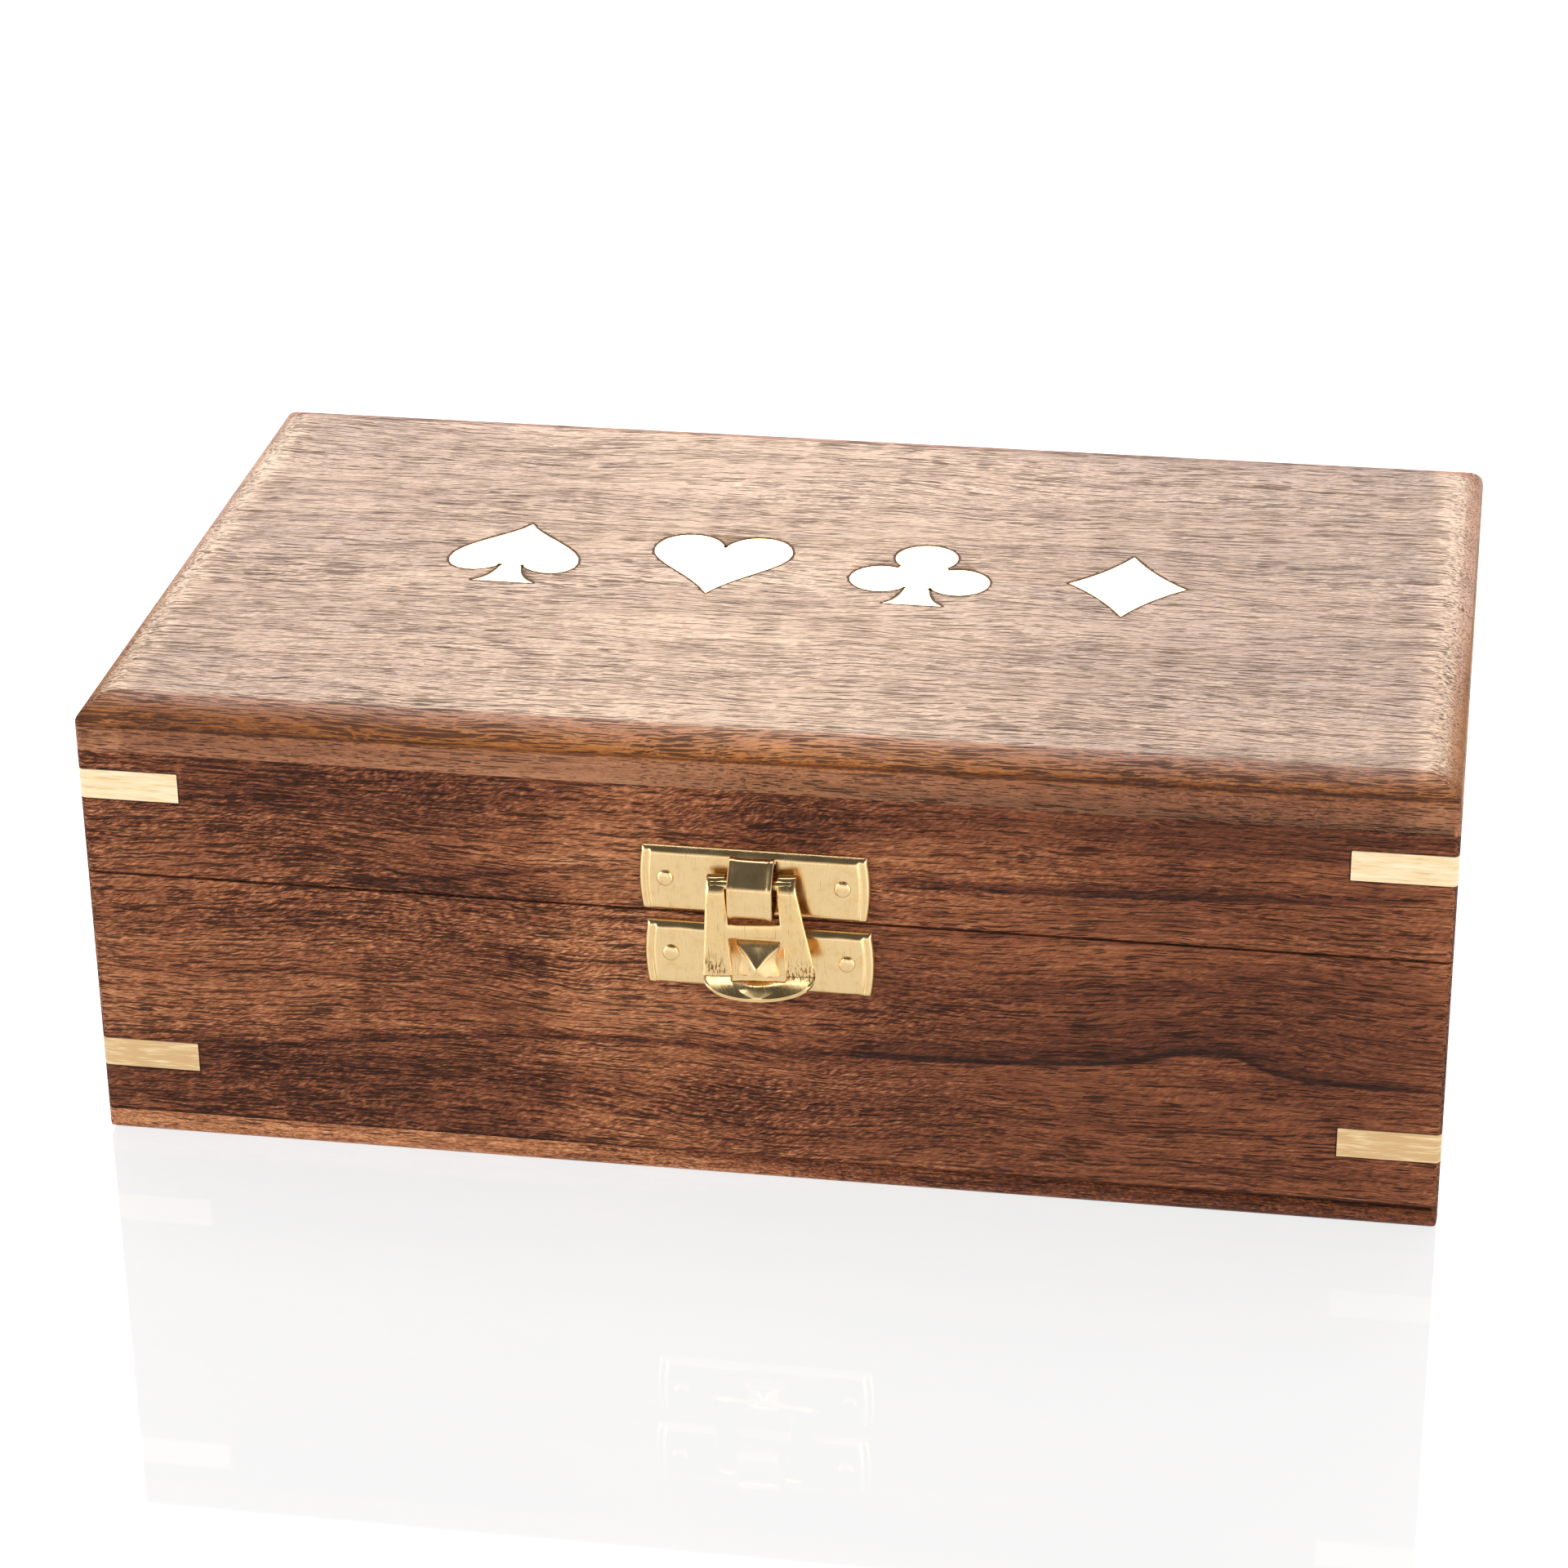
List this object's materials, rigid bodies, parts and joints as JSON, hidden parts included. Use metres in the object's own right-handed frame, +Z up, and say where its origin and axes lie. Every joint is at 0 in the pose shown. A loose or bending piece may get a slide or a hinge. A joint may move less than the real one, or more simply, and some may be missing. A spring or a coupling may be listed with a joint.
{
  "type": "poker chip case",
  "caption": "Hinged hardwood case for poker chips, with keyed mitred corners, brass inlays in the lid, a brass hasp at the front and felt-lined chip troughs inside.",
  "frame": {"origin": "middle of the flat underside that the case rests on", "axes": "+X to the right along the front, +Y to the back where the hinges are, +Z up"},
  "size_m": [0.24, 0.1524, 0.086],
  "materials": {
    "case_wood": "satin, oiled walnut-brown hardwood",
    "key_wood": "satin, pale hardwood",
    "rack_wood": "satin, brown hardwood",
    "inlay_brass": "polished",
    "latch_brass": "polished plate",
    "hinge_brass": "polished",
    "felt": "matt green wool felt"
  },
  "bodies": {
    "base": {"base_back_wall": "case_wood", "base_bottom_panel": "case_wood", "base_front_wall": "case_wood", "base_key_back_left": "key_wood", "base_key_back_right": "key_wood", "base_key_front_left": "key_wood", "base_key_front_right": "key_wood", "base_left_wall": "case_wood", "base_right_wall": "case_wood", "card_divider_left": "rack_wood", "card_divider_right": "rack_wood", "card_well_felt": "felt", "catch_nail_left": "latch_brass", "catch_nail_right": "latch_brass", "catch_plate": "latch_brass", "chip_rack_left": "rack_wood", "chip_rack_right": "rack_wood", "dice_divider": "rack_wood", "dice_well_felt": "felt", "hinge_left_base_leaf": "hinge_brass", "hinge_left_base_screw_1": "hinge_brass", "hinge_left_base_screw_2": "hinge_brass", "hinge_left_pin": "hinge_brass", "hinge_right_base_leaf": "hinge_brass", "hinge_right_base_screw_1": "hinge_brass", "hinge_right_base_screw_2": "hinge_brass", "hinge_right_pin": "hinge_brass", "trough_felt_left_1": "felt", "trough_felt_left_2": "felt", "trough_felt_right_1": "felt", "trough_felt_right_2": "felt"},
    "lid": {"hinge_left_lid_leaf": "hinge_brass", "hinge_left_lid_screw_1": "hinge_brass", "hinge_left_lid_screw_2": "hinge_brass", "hinge_right_lid_leaf": "hinge_brass", "hinge_right_lid_screw_1": "hinge_brass", "hinge_right_lid_screw_2": "hinge_brass", "inlay_club": "inlay_brass", "inlay_diamond": "inlay_brass", "inlay_heart": "inlay_brass", "inlay_spade": "inlay_brass", "latch_nail_left": "latch_brass", "latch_nail_right": "latch_brass", "latch_plate": "latch_brass", "lid_back_wall": "case_wood", "lid_felt": "felt", "lid_front_wall": "case_wood", "lid_key_back_left": "key_wood", "lid_key_back_right": "key_wood", "lid_key_front_left": "key_wood", "lid_key_front_right": "key_wood", "lid_left_wall": "case_wood", "lid_right_wall": "case_wood", "lid_top_panel": "case_wood"},
    "hasp": {"hasp": "latch_brass"}
  },
  "joints": [
    {"name": "lid_hinge", "type": "hinge", "parent": "base", "child": "lid", "pos_m": [0, 0.0685, 0.053], "axis": [-1, 0, 0], "range_deg": [0, 100]},
    {"name": "hasp_pivot", "type": "hinge", "parent": "lid", "child": "hasp", "pos_m": [0.00025, -0.0749, 0.0609], "axis": [-1, 0, 0], "range_deg": [0, 150]}
  ]
}
